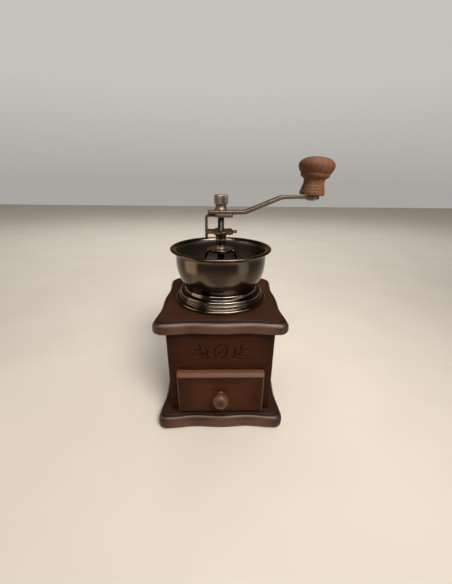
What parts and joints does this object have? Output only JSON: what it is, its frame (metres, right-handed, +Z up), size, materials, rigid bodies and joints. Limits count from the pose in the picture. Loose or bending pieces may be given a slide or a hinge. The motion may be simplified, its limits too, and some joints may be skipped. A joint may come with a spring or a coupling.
{
  "type": "coffee mill",
  "caption": "Hand-cranked box coffee mill: open metal hopper and burrs over a wooden body with a drawer for the grounds.",
  "frame": {"origin": "centre of the base plate's underside", "axes": "+Z up along the crank shaft, the drawer faces -Y, the crank arm rests along +X"},
  "size_m": [0.1552, 0.128, 0.2408],
  "materials": {
    "varnished_wood": "glossy dark varnish",
    "box_wood": "glossy varnish with darker burnished edges",
    "raw_wood": "plain sanded board",
    "knob_wood": "satin turned wood",
    "black_nickel": "polished dark nickel with a bronze tint",
    "pewter": "antiqued satin",
    "bright_steel": "bright plated",
    "black_steel": "blackened",
    "cast_iron": "as cast, dark"
  },
  "bodies": {
    "housing": {"base_plate": "varnished_wood", "base_screw_1": "bright_steel", "base_screw_2": "bright_steel", "base_screw_3": "bright_steel", "base_screw_4": "bright_steel", "box_front_panel": "box_wood", "box_back_panel": "box_wood", "box_left_panel": "box_wood", "box_right_panel": "box_wood", "drawer_rail_left": "raw_wood", "drawer_rail_right": "raw_wood", "top_plate": "varnished_wood", "step_ring": "black_nickel", "hopper_bowl": "black_nickel", "burr_housing": "cast_iron", "housing_screw_1": "bright_steel", "housing_screw_2": "bright_steel", "housing_screw_3": "bright_steel", "outer_burr": "cast_iron", "lower_spider": "cast_iron", "spider_screw_left": "bright_steel", "spider_screw_right": "bright_steel", "bridge": "black_nickel", "bridge_screw_left": "bright_steel", "bridge_screw_right": "bright_steel", "bridge_bushing": "bright_steel"},
    "adjuster": {"star_wheel": "pewter", "star_washer": "bright_steel", "spacer_collar": "black_steel", "thrust_washer": "pewter"},
    "spindle": {"shaft": "black_steel", "inner_burr": "cast_iron", "burr_nut": "black_steel", "lock_plate": "pewter", "crank_arm": "pewter", "knob_pin": "bright_steel", "knob_washer": "bright_steel"},
    "knob": {"crank_knob": "knob_wood"},
    "nut_lift": {"nut_foot": "bright_steel"},
    "nut": {"thumb_nut": "pewter"},
    "drawer": {"drawer_front": "box_wood", "drawer_side_left": "raw_wood", "drawer_side_right": "raw_wood", "drawer_back": "raw_wood", "drawer_bottom": "raw_wood", "drawer_pull": "knob_wood", "drawer_pull_screw": "bright_steel"}
  },
  "joints": [
    {"name": "crank_spin", "type": "hinge", "parent": "housing", "child": "adjuster", "pos_m": [0, 0, 0.1776], "axis": [0, 0, 1], "continuous": true},
    {"name": "grind_setting", "type": "slide", "parent": "adjuster", "child": "spindle", "axis": [0, 0, 1], "range_m": [-0.001, 0]},
    {"name": "knob_spin", "type": "hinge", "parent": "spindle", "child": "knob", "pos_m": [0.07899, 0, 0.21033], "axis": [0.061, 0, 0.9981], "continuous": true},
    {"name": "nut_rise", "type": "slide", "parent": "spindle", "child": "nut_lift", "axis": [0, 0, 1], "range_m": [0, 0.004]},
    {"name": "nut_turn", "type": "hinge", "parent": "nut_lift", "child": "nut", "pos_m": [0, 0, 0.2055], "axis": [0, 0, 1], "range_deg": [0, 1440]},
    {"name": "drawer_slide", "type": "slide", "parent": "housing", "child": "drawer", "axis": [0, -1, 0], "range_m": [0, 0.07]}
  ],
  "couplings": [
    {"joint": "nut_rise", "follows": "nut_turn", "m_per_rad": 0.000159}
  ]
}
